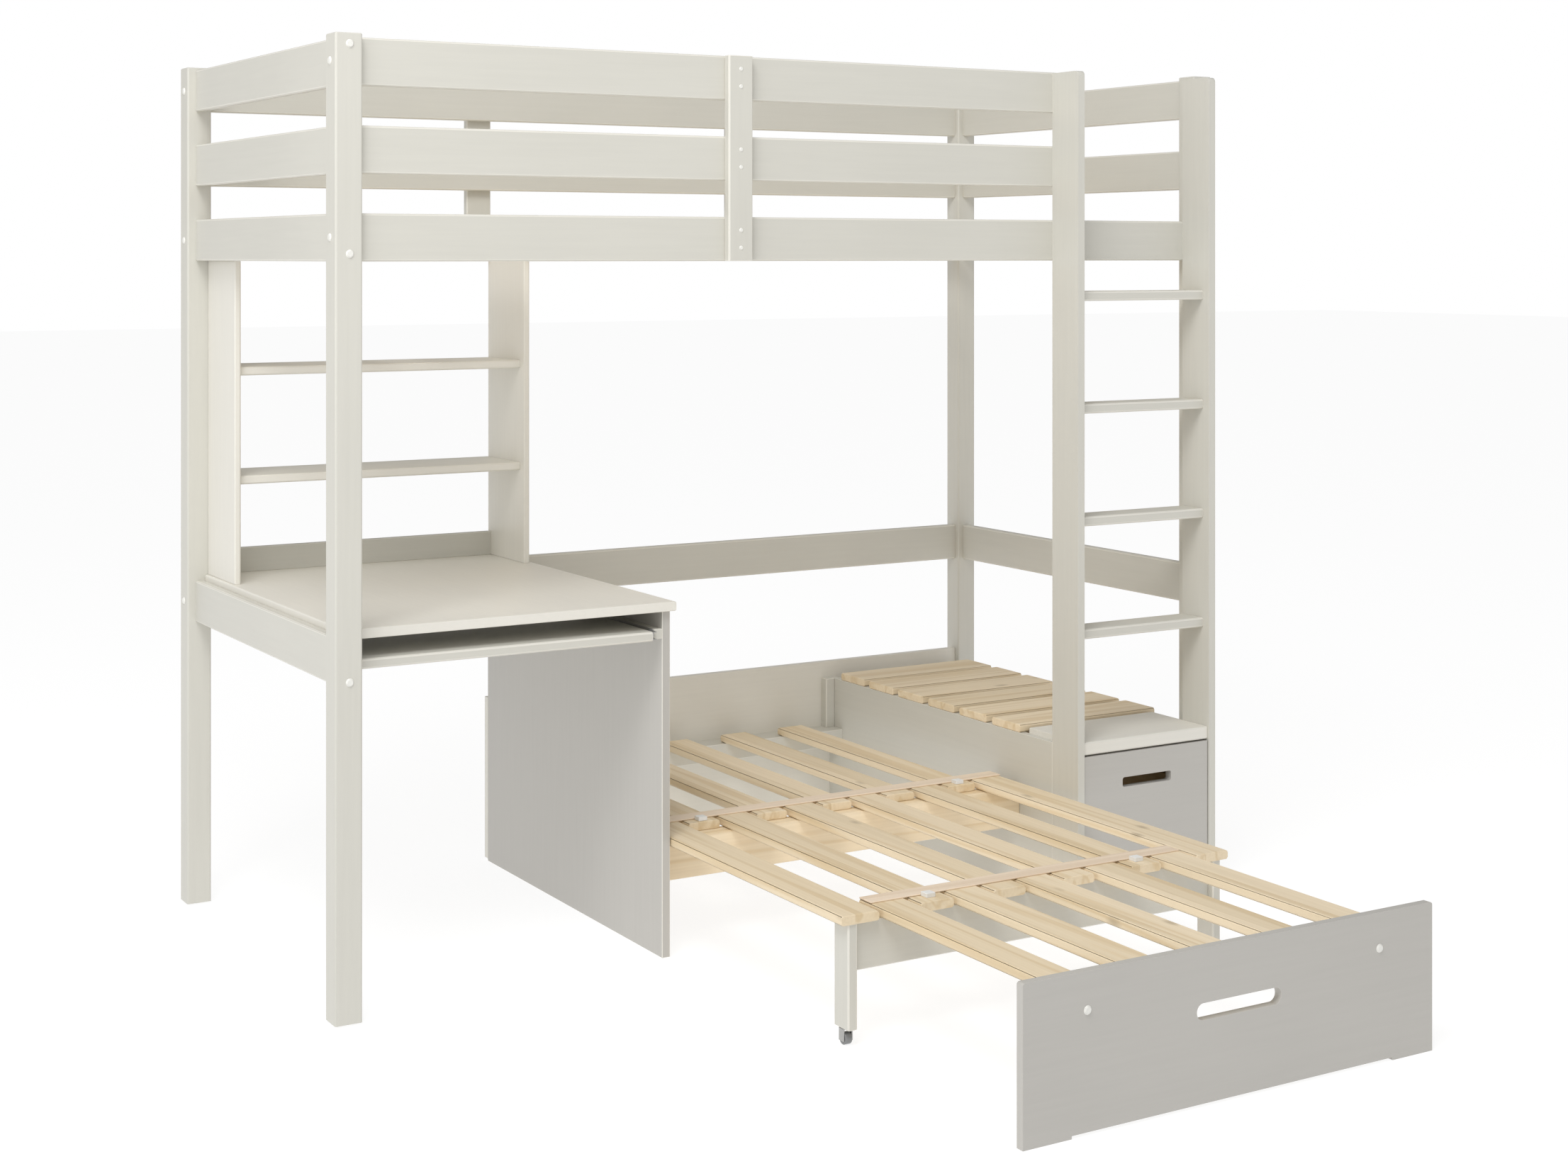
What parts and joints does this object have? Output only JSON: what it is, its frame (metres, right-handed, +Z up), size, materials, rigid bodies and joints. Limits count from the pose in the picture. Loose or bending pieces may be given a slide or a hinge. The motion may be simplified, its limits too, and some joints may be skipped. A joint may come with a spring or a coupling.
{
  "type": "bunk bed with desk",
  "caption": "High bunk bed with guard rails and a ladder over a desk with shelves, a bench with a drawer and a pull-out slatted sofa bed.",
  "frame": {"origin": "on the floor under the middle of the whole footprint with the sofa pulled out", "axes": "+X along the bed's length towards the ladder, +Y from the pull-out front to the wall side, +Z up"},
  "size_m": [2.076, 2.064, 1.8],
  "materials": {
    "painted_wood": "satin warm white paint",
    "painted_panel": "satin warm white paint",
    "pine": "clear lacquered pine",
    "strip_wood": "pale smooth wood",
    "white_plastic": "matte",
    "zinc_steel": "satin",
    "castor_plastic": "matte"
  },
  "bodies": {
    "bed_frame": {"barrel_nuts": "zinc_steel", "batten_screws": "zinc_steel", "bed_ledgers": "pine", "bed_rail_back": "painted_wood", "bed_rail_front": "painted_wood", "bed_slats": "pine", "bench_sides": "painted_panel", "bench_slats": "pine", "bench_step_board": "painted_wood", "desk_cleats": "painted_wood", "desk_side_panel": "painted_panel", "desk_top": "painted_wood", "drawer_runners_fixed": "zinc_steel", "end_guard_rails": "painted_wood", "frame_bolts": "zinc_steel", "guard_battens": "painted_wood", "guard_rail_back_middle": "painted_wood", "guard_rail_back_top": "painted_wood", "guard_rail_front_middle": "painted_wood", "guard_rail_front_top": "painted_wood", "ladder_rungs": "painted_wood", "ladder_side_left": "painted_wood", "ladder_side_right": "painted_wood", "left_end_bed_rail": "painted_wood", "left_end_desk_rail": "painted_wood", "lower_rail_back": "painted_wood", "post_back_left": "painted_wood", "post_back_right": "painted_wood", "post_front_left": "painted_wood", "post_front_right": "painted_wood", "post_glides": "white_plastic", "rear_crossbeam": "pine", "rear_ledge": "painted_wood", "rear_slats": "pine", "right_end_bed_rail": "painted_wood", "right_end_lower_rail": "painted_wood", "shelf_back_strip": "painted_wood", "shelf_sides": "painted_wood", "shelves": "painted_wood", "slat_stops_rear": "white_plastic", "sofa_back_panel": "painted_panel", "tray_runners_fixed": "zinc_steel"},
    "middle_frame": {"middle_slats": "pine", "middle_apron": "painted_wood", "middle_legs": "painted_wood", "middle_strip": "strip_wood", "slat_stops_middle": "white_plastic", "castor_forks": "zinc_steel"},
    "front_frame": {"front_slats": "pine", "front_panel": "painted_panel", "front_ledge": "painted_wood", "front_strip": "strip_wood", "front_panel_bolts": "zinc_steel"},
    "left_castor": {"castor_wheel_left": "castor_plastic"},
    "right_castor": {"castor_wheel_right": "castor_plastic"},
    "tray": {"keyboard_tray": "painted_wood", "tray_runners_moving": "zinc_steel"},
    "drawer": {"drawer_front": "painted_panel", "drawer_box": "painted_wood", "drawer_runners_moving": "zinc_steel"}
  },
  "joints": [
    {"name": "middle_frame_slide", "type": "slide", "parent": "bed_frame", "child": "middle_frame", "axis": [0, 1, 0], "range_m": [0, 0.32]},
    {"name": "front_frame_slide", "type": "slide", "parent": "middle_frame", "child": "front_frame", "axis": [0, 1, 0], "range_m": [0, 0.31]},
    {"name": "left_castor_roll", "type": "hinge", "parent": "middle_frame", "child": "left_castor", "pos_m": [-0.2845, -0.474, 0.011], "axis": [1, 0, 0], "continuous": true},
    {"name": "right_castor_roll", "type": "hinge", "parent": "middle_frame", "child": "right_castor", "pos_m": [0.5565, -0.474, 0.011], "axis": [1, 0, 0], "continuous": true},
    {"name": "keyboard_tray_slide", "type": "slide", "parent": "bed_frame", "child": "tray", "axis": [0, -1, 0], "range_m": [0, 0.28]},
    {"name": "drawer_slide", "type": "slide", "parent": "bed_frame", "child": "drawer", "axis": [0, -1, 0], "range_m": [0, 0.45]}
  ]
}
